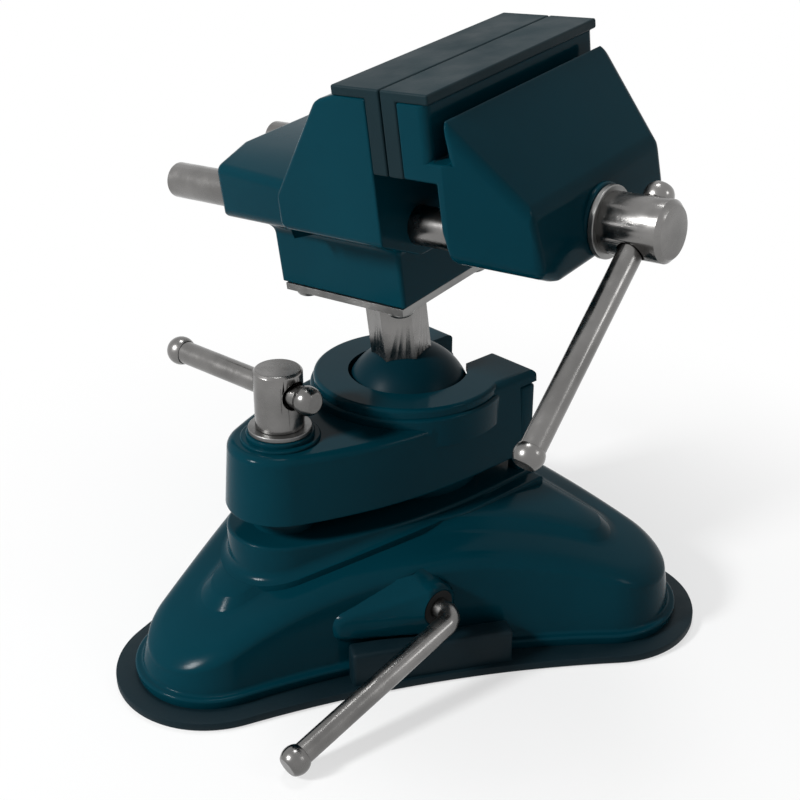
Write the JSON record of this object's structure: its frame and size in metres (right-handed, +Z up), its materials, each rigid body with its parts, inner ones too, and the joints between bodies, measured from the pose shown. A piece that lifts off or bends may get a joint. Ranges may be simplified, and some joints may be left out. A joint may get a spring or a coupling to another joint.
{
  "type": "suction base vise",
  "caption": "Small bench vise whose jaws stand on a clamped ball joint, over a three-lobed casting held to the table by a lever-operated rubber suction pad.",
  "frame": {"origin": "on the table, straight under the centre of the ball", "axes": "+Z up; +X from the clamp screw's nose towards the slotted end; the suction lever is on the -Y side"},
  "size_m": [0.1566, 0.1709, 0.1704],
  "materials": {
    "enamel": "glossy dark petrol enamel on die castings",
    "ball_enamel": "satin dark enamel on the ball",
    "pad_rubber": "soft matte black rubber",
    "jaw_rubber": "matte black rubber with a fine grain",
    "bright_steel": "nickel-plated steel, slightly brushed",
    "zinc_steel": "zinc-plated steel",
    "brass": "machined brass",
    "dark_plastic": "black nylon"
  },
  "bodies": {
    "base": {"base_casting": "enamel", "suction_pad": "pad_rubber", "lever_bushes": "dark_plastic", "clamp_nut": "zinc_steel", "clamp_pins": "zinc_steel"},
    "ball": {"ball": "ball_enamel"},
    "post": {"hex_post": "bright_steel", "post_bolt": "zinc_steel"},
    "head": {"mount_plate": "zinc_steel", "plate_screws": "zinc_steel", "fixed_jaw": "enamel", "jaw_tail": "enamel", "fixed_jaw_pad": "jaw_rubber", "lead_nut": "brass", "nut_screw": "zinc_steel"},
    "moving_jaw": {"moving_jaw": "enamel", "moving_jaw_pad": "jaw_rubber", "guide_rods": "bright_steel", "rod_pins": "zinc_steel"},
    "lead_screw": {"lead_screw": "bright_steel", "screw_collar": "zinc_steel", "screw_clip": "zinc_steel"},
    "screw_handle": {"screw_handle": "bright_steel", "screw_handle_balls": "bright_steel"},
    "clamp_cap": {"clamp_cap": "enamel"},
    "clamp_screw": {"clamp_screw": "bright_steel", "clamp_washer": "zinc_steel"},
    "clamp_handle": {"clamp_handle": "bright_steel", "clamp_handle_balls": "bright_steel"},
    "suction_lever": {"suction_lever": "bright_steel", "lever_ball": "bright_steel", "lever_cam": "zinc_steel", "cam_pin": "zinc_steel", "lever_clip": "zinc_steel"},
    "pad_lift": {"lift_plate": "zinc_steel", "lift_strap": "zinc_steel", "strap_rivets": "zinc_steel"}
  },
  "joints": [
    {"name": "ball_roll", "type": "hinge", "parent": "base", "child": "ball", "pos_m": [0, 0, 0.059], "axis": [1, 0, 0], "range_deg": [-12, 8]},
    {"name": "ball_tilt", "type": "hinge", "parent": "ball", "child": "post", "pos_m": [0, 0, 0.059], "axis": [0, 0.999, -0.0454], "range_deg": [-12, 96]},
    {"name": "head_spin", "type": "hinge", "parent": "post", "child": "head", "pos_m": [0, 0, 0.059], "axis": [-0.1063, 0.0451, 0.9933], "continuous": true},
    {"name": "jaw_slide", "type": "slide", "parent": "head", "child": "moving_jaw", "axis": [0.1435, -0.9878, 0.0602], "range_m": [0, 0.045]},
    {"name": "lead_screw_turn", "type": "hinge", "parent": "moving_jaw", "child": "lead_screw", "pos_m": [-0.00229, -0.03045, 0.12789], "axis": [0.1435, -0.9878, 0.0602], "range_deg": [0, 8100]},
    {"name": "screw_handle_slide", "type": "slide", "parent": "lead_screw", "child": "screw_handle", "axis": [0.7541, 0.1486, 0.6398], "range_m": [0, 0.0531]},
    {"name": "clamp_cap_tilt", "type": "hinge", "parent": "base", "child": "clamp_cap", "pos_m": [0.02365, 0, 0.05], "axis": [0, 1, 0], "range_deg": [0, 0.63]},
    {"name": "clamp_screw_turn", "type": "hinge", "parent": "clamp_cap", "child": "clamp_screw", "pos_m": [-0.047, 0, 0.065], "axis": [0, 0, 1], "range_deg": [0, 219.6]},
    {"name": "clamp_handle_slide", "type": "slide", "parent": "clamp_screw", "child": "clamp_handle", "axis": [0.1219, -0.9925, 0], "range_m": [-0.0028, 0.031]},
    {"name": "suction_lever_swing", "type": "hinge", "parent": "base", "child": "suction_lever", "pos_m": [-0.028, 0, 0.021], "axis": [0, 1, 0], "range_deg": [0, 100]},
    {"name": "pad_lift", "type": "slide", "parent": "base", "child": "pad_lift", "axis": [0, 0, 1], "range_m": [-0.003, 0], "deforming": ["suction_pad"]}
  ],
  "couplings": [
    {"joint": "jaw_slide", "follows": "lead_screw_turn", "m_per_rad": 0.00031831},
    {"joint": "clamp_cap_tilt", "follows": "clamp_screw_turn", "ratio": 0.002816},
    {"joint": "pad_lift", "follows": "suction_lever_swing", "m_per_rad": -0.0017188}
  ]
}
